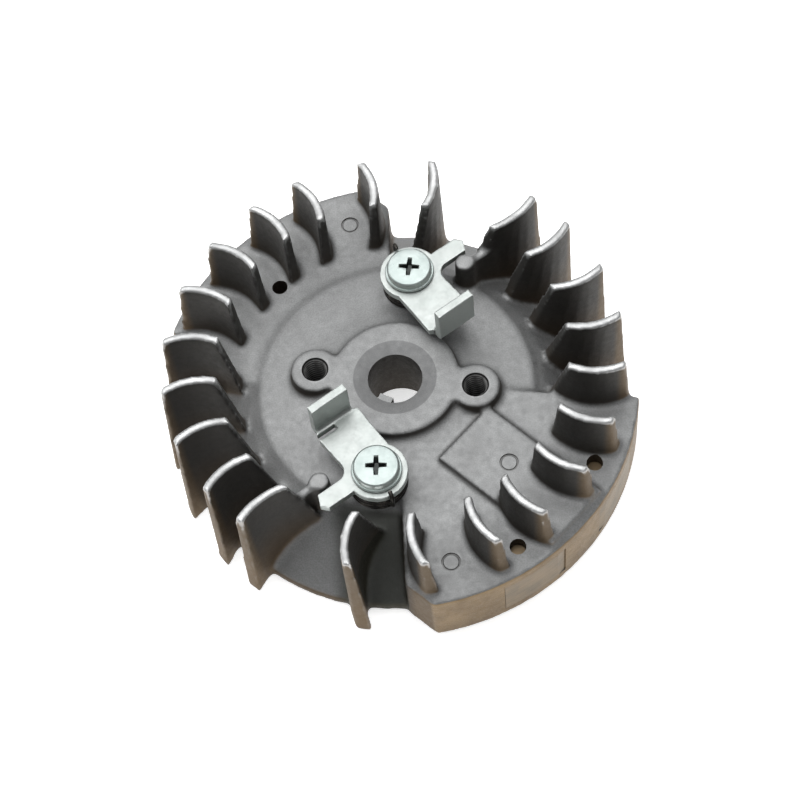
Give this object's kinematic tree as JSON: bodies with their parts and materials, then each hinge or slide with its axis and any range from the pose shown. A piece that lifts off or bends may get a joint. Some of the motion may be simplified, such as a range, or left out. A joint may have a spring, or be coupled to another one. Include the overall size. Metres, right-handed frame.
{
  "type": "flywheel",
  "caption": "Die-cast fan flywheel of a small engine, with curved blades, a cast-in ignition magnet and two spring-held starter pawls on shoulder screws.",
  "frame": {"origin": "where the crankshaft axis meets the flat rear face of the wheel", "axes": "+Z along the crankshaft away from the engine, towards the starter; +X through one puller hole"},
  "size_m": [0.0954, 0.0938, 0.028],
  "materials": {
    "cast_aluminium": "as die-cast, matte grey with a fine grain, machined on the rim and hub",
    "zinc_steel": "bright zinc plate, slightly blue-green",
    "spring_steel": "dark oiled spring wire",
    "pole_steel": "machined with the rim, faintly rusty",
    "magnet": "dark sintered magnet"
  },
  "bodies": {
    "wheel": {"flywheel_casting": "cast_aluminium", "ignition_magnet": "magnet", "leading_pole_lamination_1": "pole_steel", "leading_pole_lamination_2": "pole_steel", "leading_pole_lamination_3": "pole_steel", "leading_pole_lamination_4": "pole_steel", "leading_pole_lamination_5": "pole_steel", "leading_pole_lamination_6": "pole_steel", "trailing_pole_lamination_1": "pole_steel", "trailing_pole_lamination_2": "pole_steel", "trailing_pole_lamination_3": "pole_steel", "trailing_pole_lamination_4": "pole_steel", "trailing_pole_lamination_5": "pole_steel", "trailing_pole_lamination_6": "pole_steel", "leading_pole_rivet": "pole_steel", "trailing_pole_rivet": "pole_steel", "pawl_screw_1": "zinc_steel", "pawl_washer_1": "zinc_steel", "pawl_spring_1": "spring_steel", "pawl_screw_2": "zinc_steel", "pawl_washer_2": "zinc_steel", "pawl_spring_2": "spring_steel"},
    "pawl_1": {"starter_pawl_1": "zinc_steel"},
    "pawl_2": {"starter_pawl_2": "zinc_steel"}
  },
  "joints": [
    {"name": "pawl_1_swing", "type": "hinge", "parent": "wheel", "child": "pawl_1", "pos_m": [0, 0.0222, 0], "axis": [0, 0, 1], "range_deg": [0, 26], "stiffness_Nm_per_rad": 0.01, "springref_deg": -20.05},
    {"name": "pawl_2_swing", "type": "hinge", "parent": "wheel", "child": "pawl_2", "pos_m": [0, -0.0222, 0], "axis": [0, 0, 1], "range_deg": [0, 26], "stiffness_Nm_per_rad": 0.01, "springref_deg": -20.05}
  ]
}
